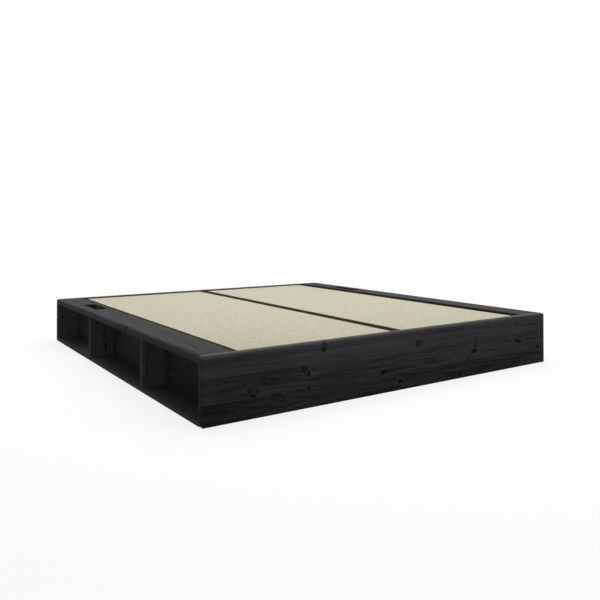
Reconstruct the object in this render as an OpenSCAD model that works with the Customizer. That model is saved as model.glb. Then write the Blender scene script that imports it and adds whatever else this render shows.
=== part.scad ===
// Low platform bed with a storage unit along each long side and two tatami mats in a
// slatted well. Millimetres, +Z up, origin on the floor under the middle of the bed.
// -Y is the foot end, -X is the left side.

/* [Mats] */
// Width of one mat
mat_w = 796; // [600:2:1000]
// Length of each mat
mat_l = 1996; // [1700:4:2200]
// Thickness of a mat over its cloth bindings
mat_t = 55; // [40:1:65]
// How far the woven face lies below the rim of the frame
mat_recess = 9; // [4:1:20]
// Thickness of the woven rush facing
rush_t = 3; // [2:0.5:5]
// Width of the cloth binding seen from above
binding_w = 27; // [15:1:40]
// Width of the binding turned under the mat
binding_turn = 30; // [15:1:60]
// Thickness of the binding cloth
binding_t = 1; // [0.6:0.2:1.6]
// Rounding of the bound long edges of a mat
binding_r = 3; // [2:0.5:4]
// Rounding of the facing where it turns down at the short ends
facing_r = 5; // [4:0.5:8]

/* [Clearances] */
// Gap between a mat and the side of the well
side_gap = 5.5; // [1:0.5:8]
// Gap between the two mats
middle_gap = 1; // [1:0.5:5]
// Gap between a mat and the end panel
end_gap = 2; // [1:0.5:6]
// Radial clearance round dowels, cams, bolts and screws
fit = 0.15; // [0.1:0.05:0.25]

/* [Frame] */
// Height of the frame, floor to rim
frame_h = 247; // [200:1:320]
// Thickness of the foot and head panels
panel_t = 30; // [26:1:40]
// Rounding of the long top edges of the end panels
panel_r = 18; // [6:1:20]
// Rounding of the top boards' outer edges and of the upper corners of the panels
edge_r = 14; // [4:1:16]
// Rounding of the upright edges and the lower corners of the panels
end_r = 9; // [3:1:12]
// Rounding of the small inner and lower edges
soft_r = 3; // [1:0.5:4]

/* [Side units] */
// Width of the top board of a side unit
unit_w = 138; // [110:1:220]
// Thickness of the top board
top_t = 28; // [24:1:36]
// Thickness of the back board
back_t = 20; // [18:1:28]
// Thickness of the compartment floor
floor_t = 16; // [15:1:24]
// Thickness of a divider
divider_t = 30; // [24:1:40]
// Clear length of the compartment nearest the foot
foot_bay = 560; // [400:10:640]
// Clear length of the middle compartment
middle_bay = 730; // [400:10:760]
// How far the dividers stand back from the front
divider_set = 2; // [1:1:20]
// Depth of the rebate that takes the back board
rebate = 5; // [3:1:8]
// Length of the cable slot
slot_l = 255; // [80:5:300]
// Width of the cable slot
slot_w = 62; // [30:1:70]
// Distance from the cable slot to the back board
slot_back = 3; // [2:1:20]
// Distance from the head divider to the cable slot
slot_gap = 42; // [20:1:80]

/* [Slatted base] */
// Number of slats under each mat
slat_n = 14; // [8:1:18]
// Width of a slat
slat_w = 75; // [50:1:90]
// Thickness of a slat
slat_t = 18; // [15:1:24]
// Distance from the end panel to the first slat
slat_inset = 18; // [5:1:60]
// Rounding of the slat edges
slat_r = 3; // [1:0.5:5]
// Width of a slat ribbon
ribbon_w = 35; // [20:1:60]
// Thickness of a slat ribbon
ribbon_t = 1.2; // [0.8:0.2:2]
// Middle of each ribbon from the end of the slats
ribbon_in = 190; // [100:10:280]
// Width of the ledge that carries the slats
ledge_w = 28; // [22:1:40]
// Height of the ledge
ledge_h = 42; // [30:1:60]
// Thickness of the centre beam
beam_t = 45; // [40:1:60]
// Height of the centre beam
beam_h = 95; // [70:1:110]
// Side of a square leg under the beam
leg_w = 45; // [35:1:60]
// Distance from the middle leg to an outer leg
leg_spacing = 600; // [400:10:800]
// Height of the plastic glide under a leg
glide_h = 4; // [3:1:8]

/* [Fittings] */
// Diameter of a wooden dowel
dowel_d = 8; // [6:1:10]
// Length of a wooden dowel
dowel_l = 34; // [25:1:40]
// Diameter of a cam lock
cam_d = 15; // [12:1:16]
// Distance from the end of a board to the middle of its cam
cam_in = 34; // [24:1:40]
// Thickness of the steel of a beam bracket
steel_t = 2; // [1.5:0.5:3]
// Height of a beam bracket
bracket_h = 70; // [50:1:90]
// How far a beam bracket reaches under the beam
bracket_reach = 42; // [30:1:60]
// Width of each screw flange of a beam bracket
flange_w = 22; // [18:1:30]

/* [Hidden] */
$fn = 64;
SIDES = ["left", "right"];

// Overall size, from the mats outwards
bed_w = 2 * (unit_w + side_gap + mat_w) + middle_gap;
bed_l = mat_l + 2 * (end_gap + panel_t);
well_l = bed_l - 2 * panel_t;

// Levels, from the rim down
facing_z = frame_h - mat_recess;
mat_z = facing_z + binding_t - mat_t;
slat_z = mat_z - ribbon_t - slat_t;
beam_z = slat_z - beam_h;
top_z = frame_h - top_t;

// Places along a side unit, from the outer face of the foot panel
foot_divider_y = panel_t + foot_bay;
head_divider_y = foot_divider_y + divider_t + middle_bay;
back_x = unit_w - back_t;
divider_depth = back_x - divider_set;
slot_x = back_x - slot_back - slot_w / 2;
slot_y = head_divider_y + divider_t + slot_gap + slot_l / 2;

// Slats of one side, from the same corner as a side unit
slat_clear = 2;
slat_x = unit_w + slat_clear;
slat_l = side_gap + mat_w + middle_gap / 2 - 2 * slat_clear;
slat_y = panel_t + slat_inset;
slat_pitch = (well_l - 2 * slat_inset - slat_w) / (slat_n - 1);
slat_screw_in = 11;

// Wood screws: countersunk head and plain shank
screw_head_d = 8;
screw_head_h = 3;
screw_shank_d = 4;
head_sink = 0.4;
ledge_screw_l = ledge_w + back_t - 5;
back_screw_l = back_t + 30;
floor_screw_l = floor_t + 34;
slat_screw_l = slat_t + 20;
bracket_screw_l = 20;
screw_edge = 60;
ledge_screw_n = 7;
floor_screw_n = 6;

// Cam lock and its bolt
cam_below = 5.5;
cam_mouth = 7;
cam_slot_w = 3;
cam_slot_h = 2;
cam_bolt_d = 5;
cam_head_d = 6.4;
cam_head_l = 5;
cam_collar_d = 7;
cam_collar_l = 2;
cam_thread_d = 6;
cam_thread_l = 11;
top_cam_at = [30, 106];
top_dowel_at = 68;
floor_cam_at = 60;
back_dowel_at = [62, 162];
divider_dowel_at = [30, 90];
divider_screw_at = [30, 90];
divider_back_screw_at = [90, 170];

// Bolt that hangs each leg on the centre beam
leg_bolt_d = 8;
leg_bolt_l = 70;
glide_d = 28;
glide_pin_d = 2.4;
glide_pin_l = 14;
flange_hole_edge = 12;
clear_end = 0.5;

// How much rounder the facing's edge is than the inside of the cloth bound over it
cloth_ease = 0.6;

// ---------------------------------------------------------------- outlines and placing

// Rectangle with its own radius at each corner: low-left, low-right, high-right, high-left
module rounded_rect(size, radii) {
    difference() {
        square(size);
        corner_cut(radii[0]);
        translate([size[0], 0]) mirror([1, 0]) corner_cut(radii[1]);
        translate(size) rotate(180) corner_cut(radii[2]);
        translate([0, size[1]]) mirror([0, 1]) corner_cut(radii[3]);
    }
}

// What a round takes off a square corner at the origin
module corner_cut(r) {
    if (r > 0) {
        difference() {
            translate([-1, -1]) square(r + 1);
            translate([r, r]) circle(r);
        }
    }
}

// An XZ outline drawn out along Y, and a YZ outline drawn out along X
module along_y(length) {
    translate([0, length, 0]) rotate([90, 0, 0]) linear_extrude(length) children();
}

module along_x(length) {
    rotate([90, 0, 90]) linear_extrude(length) children();
}

// Corner of the bed: X and Y run from the outer faces of the left unit and the foot panel
module from_corner() {
    translate([-bed_w / 2, -bed_l / 2, 0]) children();
}

// Left things as drawn, right things mirrored over the middle of the bed
module on_side(side) {
    if (side == "left") from_corner() children();
    else mirror([1, 0, 0]) from_corner() children();
}

// The same thing at the foot end and, turned over, at the head end
module at_both_ends() {
    children();
    translate([0, bed_l, 0]) mirror([0, 1, 0]) children();
}

// ---------------------------------------------------------------- fittings

// Screw with its head flush at z = 0 and its point down; extra makes the hole for it
module screw(length, extra = 0) {
    head_r = screw_head_d / 2 + extra;
    shank_r = screw_shank_d / 2 + extra;
    tip = length + extra;
    rotate_extrude() polygon([
        [0, extra * 4], [head_r, extra * 4], [head_r, -0.2 - extra],
        [shank_r, -screw_head_h - extra], [shank_r, 4 - tip], [0, -tip]
    ]);
}

// Pan-head screw for the brackets, its head resting on z = 0
module pan_screw(length, extra = 0) {
    shank_r = screw_shank_d / 2 + extra;
    rotate_extrude() polygon([
        [0, 2.4], [2.2, 2.2], [3.8, 1], [4, 0], [shank_r, 0], [shank_r, 3 - length - extra],
        [0, -length - extra]
    ]);
}

// Dowel with chamfered ends, its middle at the origin and its axis along Z
module dowel() {
    r = dowel_d / 2;
    h = dowel_l / 2;
    rotate_extrude() polygon([
        [0, -h], [r - 1, -h], [r, 1 - h], [r, h - 1], [r - 1, h], [0, h]
    ]);
}

module dowel_bore() {
    cylinder(d = dowel_d + 2 * fit, h = dowel_l + 1, center = true);
}

// Cam joint: the board's end is at y = 0, the bolt lies on the board's middle plane, and
// the cam opens upwards through a board that is board_t thick
module cam(board_t) {
    cam_h = board_t / 2 + cam_below - 2 * fit;
    translate([0, cam_in, fit - cam_below]) difference() {
        cylinder(d = cam_d, h = cam_h);
        translate([-cam_mouth / 2, -cam_d, cam_below - fit - cam_mouth / 2])
            cube([cam_mouth, cam_d + cam_head_l, cam_mouth]);
        for (turn = [0, 90]) rotate(turn) translate([-cam_d / 3, -cam_slot_w / 2, cam_h - cam_slot_h])
            cube([2 * cam_d / 3, cam_slot_w, cam_slot_h + 1]);
    }
}

module cam_bolt() {
    rotate([-90, 0, 0]) rotate_extrude() polygon([
        [0, -cam_thread_l], [cam_thread_d / 2 - 1, -cam_thread_l],
        [cam_thread_d / 2, 1 - cam_thread_l], [cam_thread_d / 2, 0],
        [cam_collar_d / 2, 0], [cam_collar_d / 2, cam_collar_l],
        [cam_bolt_d / 2, cam_collar_l], [cam_bolt_d / 2, cam_in - cam_head_l / 2],
        [cam_head_d / 2, cam_in - cam_head_l / 2 + 1], [cam_head_d / 2, cam_in + cam_head_l / 2],
        [0, cam_in + cam_head_l / 2]
    ]);
}

// Pocket for the cam and the bore for its bolt, cut in the board
module cam_bores(board_t) {
    translate([0, cam_in, -cam_below]) cylinder(d = cam_d + 2 * fit, h = board_t / 2 + cam_below + 1);
    translate([0, -1, 0]) rotate([-90, 0, 0]) cylinder(d = cam_collar_d + 2 * fit, h = cam_in + 1);
}

// Hole for the bolt's thread, cut in the end panel
module cam_thread_bore() {
    rotate([90, 0, 0]) cylinder(d = cam_thread_d + 2 * fit, h = cam_thread_l + 1);
}

// Every cam joint at one end of a side unit, as children drawn at the joint
module at_top_cams() {
    for (x = top_cam_at) translate([x, panel_t, frame_h - top_t / 2]) mirror([0, 0, 1]) children();
}

module at_floor_cam() {
    translate([floor_cam_at, panel_t, floor_t / 2]) children();
}

// Every dowel at one end of a side unit, as children drawn with their axis along Z
module at_end_dowels() {
    translate([top_dowel_at, panel_t, frame_h - top_t / 2]) rotate([90, 0, 0]) children();
    for (z = back_dowel_at) translate([unit_w - back_t / 2, panel_t, z]) rotate([90, 0, 0]) children();
}

// Dowels between the top board and one divider, and screws up through the floor into it
module at_divider_dowels() {
    for (y = [foot_divider_y, head_divider_y], x = divider_dowel_at)
        translate([x, y + divider_t / 2, top_z]) children();
}

module at_floor_screws() {
    for (y = [foot_divider_y, head_divider_y], x = divider_screw_at)
        translate([x, y + divider_t / 2, head_sink]) mirror([0, 0, 1]) children();
}

// Screws from the well through the back board, into the floor board and the dividers
module at_back_screws() {
    pitch = (well_l - 2 * screw_edge) / (floor_screw_n - 1);
    for (i = [0 : floor_screw_n - 1])
        translate([unit_w, panel_t + screw_edge + i * pitch, floor_t / 2]) rotate([0, 90, 0]) children();
    for (y = [foot_divider_y, head_divider_y], z = divider_back_screw_at)
        translate([unit_w, y + divider_t / 2, z]) rotate([0, 90, 0]) children();
}

// Screws through the ledge into the back board
module at_ledge_screws() {
    pitch = (well_l - 2 * screw_edge) / (ledge_screw_n - 1);
    for (i = [0 : ledge_screw_n - 1])
        translate([unit_w + ledge_w, panel_t + screw_edge + i * pitch, slat_z - ledge_h / 2])
            rotate([0, 90, 0]) children();
}

// ---------------------------------------------------------------- end panels

// Solid glued panel with its outer face at y = 0 and every outer edge rounded
module panel_blank() {
    intersection() {
        along_y(panel_t) rounded_rect([bed_w, frame_h], [end_r, end_r, edge_r, edge_r]);
        along_x(bed_w) rounded_rect([panel_t, frame_h], [soft_r, 1, soft_r, panel_r]);
        linear_extrude(frame_h) rounded_rect([bed_w, panel_t], [end_r, end_r, 1, 1]);
    }
}

module unit_end_bores() {
    at_top_cams() cam_thread_bore();
    at_floor_cam() cam_thread_bore();
    at_end_dowels() dowel_bore();
}

module end_panel() {
    difference() {
        panel_blank();
        unit_end_bores();
        translate([bed_w, 0, 0]) mirror([1, 0, 0]) unit_end_bores();
        translate([bed_w / 2, panel_t, 0]) at_flange_holes() pan_screw(bracket_screw_l, fit);
    }
}

module foot_panel() {
    color("#26262a") from_corner() end_panel();
}

module head_panel() {
    color("#26262a") mirror([0, 1, 0]) from_corner() end_panel();
}

// ---------------------------------------------------------------- side units

// Straight slot with round ends, through the top board
module cable_slot() {
    straight = slot_l - slot_w;
    translate([slot_x, slot_y, top_z - 1]) linear_extrude(top_t + 2) {
        translate([-slot_w / 2, -straight / 2]) square([slot_w, straight]);
        for (end = [-1, 1]) translate([0, end * straight / 2]) circle(d = slot_w);
    }
}

module top_board(side) {
    color("#2a2a2e") on_side(side) difference() {
        translate([0, panel_t, top_z]) along_y(well_l)
            rounded_rect([unit_w, top_t], [soft_r, 0, soft_r, edge_r]);
        // Rebate for the back board
        translate([back_x, panel_t - 1, top_z - 1]) cube([back_t + 1, well_l + 2, rebate + 1]);
        cable_slot();
        at_both_ends() {
            at_top_cams() cam_bores(top_t);
            at_end_dowels() dowel_bore();
        }
        at_divider_dowels() dowel_bore();
    }
}

module back_board(side) {
    color("#202023") on_side(side) difference() {
        translate([back_x, panel_t, 0]) cube([back_t, well_l, top_z + rebate]);
        at_both_ends() at_end_dowels() dowel_bore();
        at_back_screws() screw(back_screw_l, fit);
        at_ledge_screws() screw(ledge_screw_l, fit);
    }
}

module floor_board(side) {
    color("#232327") on_side(side) difference() {
        translate([0, panel_t, 0]) along_y(well_l)
            rounded_rect([back_x, floor_t], [soft_r, 0, 0, soft_r]);
        at_both_ends() at_floor_cam() cam_bores(floor_t);
        at_floor_screws() screw(floor_screw_l, fit);
        at_back_screws() screw(back_screw_l, fit);
    }
}

module divider(side, y) {
    color("#2c2c30") on_side(side) difference() {
        translate([divider_set, y, floor_t]) linear_extrude(top_z - floor_t)
            rounded_rect([divider_depth, divider_t], [soft_r, 0, 0, soft_r]);
        at_divider_dowels() dowel_bore();
        at_floor_screws() screw(floor_screw_l, fit);
        at_back_screws() screw(back_screw_l, fit);
    }
}

module unit_screws(side) {
    color("silver") on_side(side) {
        at_back_screws() screw(back_screw_l);
        at_floor_screws() screw(floor_screw_l);
    }
}

module cams(side) {
    color("silver") on_side(side) at_both_ends() {
        at_top_cams() cam(top_t);
        at_floor_cam() cam(floor_t);
    }
}

module cam_bolts(side) {
    color("gray") on_side(side) at_both_ends() {
        at_top_cams() cam_bolt();
        at_floor_cam() cam_bolt();
    }
}

module dowels(side) {
    color("burlywood") on_side(side) {
        at_both_ends() at_end_dowels() dowel();
        at_divider_dowels() dowel();
    }
}

// ---------------------------------------------------------------- slatted base

module ledge(side) {
    color("burlywood") on_side(side) difference() {
        translate([unit_w, panel_t + clear_end, slat_z - ledge_h]) along_y(well_l - 2 * clear_end)
            rounded_rect([ledge_w, ledge_h], [0, soft_r, soft_r, 0]);
        at_ledge_screws() screw(ledge_screw_l, fit);
        at_slat_screws() screw(slat_screw_l, fit);
    }
}

module ledge_screws(side) {
    color("silver") on_side(side) at_ledge_screws() screw(ledge_screw_l);
}

// Slats of one side run from the ledge to the middle of the beam
module slat() {
    along_x(slat_l) rounded_rect([slat_w, slat_t], [slat_r, slat_r, slat_r, slat_r]);
}

// The first and the last slat are screwed down at both of their ends
module at_slat_screws() {
    for (y = [slat_y, slat_y + (slat_n - 1) * slat_pitch], x = [slat_screw_in, slat_l - slat_screw_in])
        translate([slat_x + x, y + slat_w / 2, slat_z + slat_t]) children();
}

module slats(side) {
    color("#d9b98a") on_side(side) difference() {
        for (i = [0 : slat_n - 1]) translate([slat_x, slat_y + i * slat_pitch, slat_z]) slat();
        at_slat_screws() screw(slat_screw_l, fit);
    }
}

module slat_screws() {
    color("silver") for (side = SIDES) on_side(side) at_slat_screws() screw(slat_screw_l);
}

// Two woven ribbons keep the slats at their pitch
module ribbons(side) {
    span = (slat_n - 1) * slat_pitch + slat_w - 2 * slat_r;
    color("#e6e2d8") on_side(side) for (x = [ribbon_in, slat_l - ribbon_in])
        translate([slat_x + x - ribbon_w / 2, slat_y + slat_r, slat_z + slat_t])
            cube([ribbon_w, span, ribbon_t]);
}

module at_legs() {
    for (y = [-leg_spacing, 0, leg_spacing]) translate([0, y, 0]) children();
}

module centre_beam() {
    length = well_l - 2 * (steel_t + clear_end);
    color("#d2b080") difference() {
        translate([-beam_t / 2, -length / 2, beam_z]) along_y(length)
            rounded_rect([beam_t, beam_h], [0, 0, soft_r, soft_r]);
        at_legs() translate([0, 0, beam_z]) leg_bolt_bore();
        for (side = SIDES) on_side(side) at_slat_screws() screw(slat_screw_l, fit);
    }
}

module leg_bolt_bore() {
    cylinder(d = leg_bolt_d + 2 * fit, h = leg_bolt_l + 2, center = true);
}

module leg(y) {
    color("#d2b080") difference() {
        translate([-leg_w / 2, y - leg_w / 2, glide_h]) linear_extrude(beam_z - glide_h)
            rounded_rect([leg_w, leg_w], [soft_r, soft_r, soft_r, soft_r]);
        translate([0, y, beam_z]) leg_bolt_bore();
        translate([0, y, glide_h]) cylinder(d = glide_pin_d + fit, h = glide_pin_l + 1);
    }
}

module leg_bolts() {
    color("gray") at_legs() translate([0, 0, beam_z])
        cylinder(d = leg_bolt_d, h = leg_bolt_l, center = true);
}

module leg_glides() {
    color("#8c8c8c") at_legs() rotate_extrude() polygon([
        [0, 0], [glide_d / 2 - 1.5, 0], [glide_d / 2, 1.5], [glide_d / 2, glide_h],
        [glide_pin_d / 2, glide_h], [glide_pin_d / 2, glide_h + glide_pin_l - 2],
        [0, glide_h + glide_pin_l]
    ]);
}

// Steel shoe that carries one end of the beam; the panel's inner face is at y = 0
module at_flange_holes() {
    for (sx = [-1, 1], z = [flange_hole_edge, bracket_h - flange_hole_edge])
        translate([sx * (beam_t / 2 + clear_end + steel_t + flange_w / 2), steel_t, beam_z - steel_t + z])
            rotate([-90, 0, 0]) children();
}

module beam_bracket() {
    inner = beam_t + 2 * clear_end;
    outer = inner + 2 * steel_t;
    wide = outer + 2 * flange_w;
    difference() {
        translate([0, 0, beam_z - steel_t]) union() {
            translate([-wide / 2, 0, 0]) along_y(steel_t)
                rounded_rect([wide, bracket_h], [5, 5, 5, 5]);
            translate([-outer / 2, 0, 0]) cube([outer, bracket_reach, steel_t]);
            for (x = [-outer / 2, inner / 2]) translate([x, 0, 0]) along_x(steel_t)
                rounded_rect([bracket_reach, bracket_h], [0, 0, 12, 0]);
        }
        at_flange_holes() translate([0, 0, -steel_t - 1]) cylinder(d = screw_shank_d + 2 * fit, h = steel_t + 2);
    }
}

module foot_beam_bracket() {
    color("#9a9ca0") translate([0, -well_l / 2, 0]) beam_bracket();
}

module head_beam_bracket() {
    color("#9a9ca0") mirror([0, 1, 0]) translate([0, -well_l / 2, 0]) beam_bracket();
}

module bracket_screws() {
    color("silver") for (end = [0, 1]) mirror([0, end, 0]) translate([0, -well_l / 2, 0])
        at_flange_holes() pan_screw(bracket_screw_l);
}

// ---------------------------------------------------------------- tatami mats

// One corner of a mat: X runs from its outer long edge, Y from its foot end
module at_mat(side) {
    on_side(side) translate([unit_w + side_gap, panel_t + end_gap, mat_z]) children();
}

// Pressed board that gives the mat its body
module mat_core(side) {
    color("#b79b6a") at_mat(side) translate([binding_t, rush_t, binding_t])
        cube([mat_w - 2 * binding_t, mat_l - 2 * rush_t, mat_t - 2 * binding_t - rush_t]);
}

// Woven rush over the top, turned down over both short ends
module mat_facing(side) {
    h = mat_t - binding_t;
    long_edge_r = binding_r - binding_t + cloth_ease;
    color("#cfcab3") at_mat(side) intersection() {
        along_x(mat_w) difference() {
            translate([0, binding_t]) rounded_rect([mat_l, h - binding_t], [0, 0, facing_r, facing_r]);
            translate([rush_t, -1]) square([mat_l - 2 * rush_t, h - rush_t + 1]);
        }
        translate([binding_t, 0, 0]) along_y(mat_l)
            rounded_rect([mat_w - 2 * binding_t, h], [0, 0, long_edge_r, long_edge_r]);
    }
}

// Cloth folded round one long edge: over the top, down the side and under the mat
module binding() {
    along_y(mat_l) difference() {
        rounded_rect([binding_turn, mat_t], [1, 0, 0, binding_r]);
        translate([binding_t, binding_t])
            rounded_rect([binding_turn, mat_t - 2 * binding_t], [0, 0, 0, binding_r - binding_t]);
        translate([binding_w, mat_t / 2]) square([binding_turn, mat_t]);
    }
}

module mat_bindings(side) {
    color("#2b2721") at_mat(side) {
        binding();
        translate([mat_w, 0, 0]) mirror([1, 0, 0]) binding();
    }
}

// Sheet under the core and the facing's ends, between the turned-under bindings
module mat_backing(side) {
    color("#8d8878") at_mat(side) translate([binding_turn, 0, 0])
        cube([mat_w - 2 * binding_turn, mat_l, binding_t]);
}

// ---------------------------------------------------------------- the bed

foot_panel();
head_panel();
top_board("left");  // left_top_board
top_board("right");  // right_top_board
back_board("left");  // left_back_board
back_board("right");  // right_back_board
floor_board("left");  // left_floor_board
floor_board("right");  // right_floor_board
divider("left", foot_divider_y);  // left_foot_divider
divider("right", foot_divider_y);  // right_foot_divider
divider("left", head_divider_y);  // left_head_divider
divider("right", head_divider_y);  // right_head_divider
ledge("left");  // left_ledge
ledge("right");  // right_ledge
centre_beam();
leg(-leg_spacing);  // foot_leg
leg(0);  // middle_leg
leg(leg_spacing);  // head_leg
leg_bolts();
leg_glides();
foot_beam_bracket();
head_beam_bracket();
bracket_screws();
slats("left");  // left_slats
slats("right");  // right_slats
ribbons("left");  // left_ribbons
ribbons("right");  // right_ribbons
slat_screws();
ledge_screws("left");  // left_ledge_screws
ledge_screws("right");  // right_ledge_screws
unit_screws("left");  // left_unit_screws
unit_screws("right");  // right_unit_screws
cams("left");  // left_cams
cams("right");  // right_cams
cam_bolts("left");  // left_cam_bolts
cam_bolts("right");  // right_cam_bolts
dowels("left");  // left_dowels
dowels("right");  // right_dowels
mat_core("left");  // left_mat_core
mat_core("right");  // right_mat_core
mat_facing("left");  // left_mat_facing
mat_facing("right");  // right_mat_facing
mat_bindings("left");  // left_mat_bindings
mat_bindings("right");  // right_mat_bindings
mat_backing("left");  // left_mat_backing
mat_backing("right");  // right_mat_backing
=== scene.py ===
"""Looks of the low platform bed: stained pine frame, slatted base and two tatami mats. Metres."""

import math
import random
from functools import reduce

import bmesh
import bpy
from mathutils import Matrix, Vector


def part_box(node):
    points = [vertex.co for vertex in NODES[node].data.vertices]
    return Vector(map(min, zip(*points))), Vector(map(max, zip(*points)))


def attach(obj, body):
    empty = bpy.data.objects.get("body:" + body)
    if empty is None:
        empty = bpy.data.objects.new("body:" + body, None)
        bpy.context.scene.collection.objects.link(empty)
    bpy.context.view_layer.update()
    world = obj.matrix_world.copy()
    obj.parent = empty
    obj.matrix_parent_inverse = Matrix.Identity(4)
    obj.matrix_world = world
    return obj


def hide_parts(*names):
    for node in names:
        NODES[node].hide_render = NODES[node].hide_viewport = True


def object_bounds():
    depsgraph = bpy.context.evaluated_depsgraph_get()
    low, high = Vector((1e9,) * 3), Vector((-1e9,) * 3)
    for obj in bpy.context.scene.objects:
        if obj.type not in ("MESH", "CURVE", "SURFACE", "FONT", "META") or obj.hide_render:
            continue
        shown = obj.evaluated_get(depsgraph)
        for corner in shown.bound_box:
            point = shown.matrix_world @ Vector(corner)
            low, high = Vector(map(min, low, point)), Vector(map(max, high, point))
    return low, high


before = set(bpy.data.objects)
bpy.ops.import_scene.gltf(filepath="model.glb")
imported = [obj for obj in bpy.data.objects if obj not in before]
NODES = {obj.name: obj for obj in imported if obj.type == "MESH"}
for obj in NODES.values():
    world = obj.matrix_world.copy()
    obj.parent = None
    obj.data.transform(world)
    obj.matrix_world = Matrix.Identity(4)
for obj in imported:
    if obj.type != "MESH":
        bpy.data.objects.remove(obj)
cad_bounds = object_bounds()

SIDES = ("left", "right")
AXES = {"x": 0, "y": 1, "z": 2}
MM = 0.001
QUARTER_TURN = math.pi / 2


def new_object(name, data):
    item = bpy.data.objects.new(name, data)
    bpy.context.scene.collection.objects.link(item)
    return item


# ---- nodes of a material

class Graph:
    """Short names for making the nodes of one tree. A value is a number or a node's output."""

    def __init__(self, tree):
        self.nodes = tree.nodes
        self.links = tree.links

    def make(self, kind, **settings):
        node = self.nodes.new(kind)
        for name, value in settings.items():
            setattr(node, name, value)
        return node

    def feed(self, node, *values, **named):
        """Put values into a node's inputs, in order or by name, and give its first output."""
        pairs = [*zip(node.inputs, values)]
        pairs += [(node.inputs[name.replace("_", " ")], value) for name, value in named.items()]
        for socket, value in pairs:
            if isinstance(value, bpy.types.NodeSocket):
                self.links.new(value, socket)
            else:
                socket.default_value = value
        return node.outputs[0]

    def math(self, operation, *values, clamp=False):
        return self.feed(self.make("ShaderNodeMath", operation=operation, use_clamp=clamp), *values)

    def add(self, *values):
        return reduce(lambda a, b: self.math("ADD", a, b), values)

    def times(self, *values):
        return reduce(lambda a, b: self.math("MULTIPLY", a, b), values)

    def minus(self, a, b):
        return self.math("SUBTRACT", a, b)

    def over(self, a, b):
        return self.math("DIVIDE", a, b)

    def larger(self, a, b):
        return self.math("MAXIMUM", a, b)

    def smaller(self, a, b):
        return self.math("MINIMUM", a, b)

    def size(self, value):
        return self.math("ABSOLUTE", value)

    def whole(self, value):
        return self.math("FLOOR", value)

    def part(self, value):
        return self.math("FRACT", value)

    def root(self, value):
        return self.math("SQRT", value)

    def wave(self, value):
        return self.math("SINE", value)

    def limited(self, value):
        """A value held between 0 and 1."""
        return self.math("ADD", value, 0.0, clamp=True)

    def swing(self, value, reach):
        """A noise or a random number as a swing round 0."""
        return self.times(self.minus(value, 0.5), reach)

    def dot(self, a, b):
        node = self.make("ShaderNodeVectorMath", operation="DOT_PRODUCT")
        self.feed(node, a, b)
        return node.outputs["Value"]

    def split(self, vector):
        node = self.make("ShaderNodeSeparateXYZ")
        self.feed(node, vector)
        return list(node.outputs)

    def join(self, x, y, z=0.0):
        return self.feed(self.make("ShaderNodeCombineXYZ"), x, y, z)

    def noise(self, vector, scale=1.0, detail=2.0, rough=0.5):
        """Noise from about 0.2 to 0.8, with 0.5 in the middle."""
        node = self.make("ShaderNodeTexNoise")
        return self.feed(node, Vector=vector, Scale=scale, Detail=detail, Roughness=rough)

    def layer(self, rates, x, y, z=0.0):
        """Noise with a rate along x and one along y, then its detail and maybe roughness."""
        rate_x, rate_y, *rest = rates
        return self.noise(self.join(self.times(x, rate_x), self.times(y, rate_y), z), 1.0, *rest)

    def chance(self, x, y, z=0.0):
        """A random number from 0 to 1 for each set of values."""
        node = self.make("ShaderNodeTexWhiteNoise", noise_dimensions="3D")
        return self.feed(node, Vector=self.join(x, y, z))

    def step(self, value, low, high, start=0.0, end=1.0):
        """A smooth step from start, at low, to end, at high."""
        node = self.make("ShaderNodeMapRange", interpolation_type="SMOOTHSTEP", clamp=False)
        return self.feed(node, value, low, high, start, end)

    def spread(self, value, low, high, start=0.0, end=1.0):
        """A straight ramp from start, at low, to end, at high."""
        return self.feed(self.make("ShaderNodeMapRange"), value, low, high, start, end)

    def blend(self, share, a, b):
        """Colour a, turning to b as share goes from 0 to 1."""
        node = self.make("ShaderNodeMix", data_type="RGBA")
        self.feed(node, Factor=share, A=colour(a), B=colour(b))
        return node.outputs["Result"]

    def mixed(self, share, a, b):
        """Shader a, turning to b as share goes from 0 to 1."""
        return self.feed(self.make("ShaderNodeMixShader"), share, a, b)


class MaterialGraph(Graph):
    """The nodes of one new material; place is a point in the shared frame."""

    def __init__(self, name):
        self.material = bpy.data.materials.new(name)
        self.material.use_nodes = True
        super().__init__(self.material.node_tree)
        self.shader = self.nodes["Principled BSDF"]
        self.place = self.make("ShaderNodeTexCoord").outputs["Object"]

    def bump(self, height):
        """Bump from a height in metres."""
        node = self.make("ShaderNodeBump")
        self.feed(self.shader, Normal=self.feed(node, Height=height, Strength=1.0, Distance=1.0))

    def finish(self, base, rough, **constants):
        """Colour, roughness and any constants of the shader; gives the material."""
        self.feed(self.shader, Base_Color=base, Roughness=rough, **constants)
        return self.material


def colour(value):
    """A colour as four numbers; a node's output stays as it is."""
    if isinstance(value, bpy.types.NodeSocket):
        return value
    return (*value, 1.0)


def put_material(node, material):
    slots = NODES[node].data.materials
    if not slots:
        slots.append(material)
    for index in range(len(slots)):
        slots[index] = material


# ---- camera, light and floor

# The photograph's camera: nearly level, turned right, its centre moved by the lens shift
PICTURE = 600
FOCAL_PIXELS = 650.1
CENTRE_PIXEL = (322.1, 214.6)
CAMERA_PLACE = (-1.8832, -3.0865, 0.7048)
CAMERA_YAW = 0.6125
CAMERA_PITCH = 0.0123
CAMERA_REACH = 200
SENSOR_MM = 36

# Lamps: place, aim, size and power
LAMPS = {
    "key": ((0.5, 0.8, 4.2), (0, 0, 0), (5.0, 5.0), 190),
    "side": ((3.0, -3.8, 2.6), (0, 0, 0.1), (2.0, 2.0), 42),
    "fill": ((-2.4, -5.2, 0.5), (0, 0, 0.1), (1.6, 0.6), 44),
}
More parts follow.
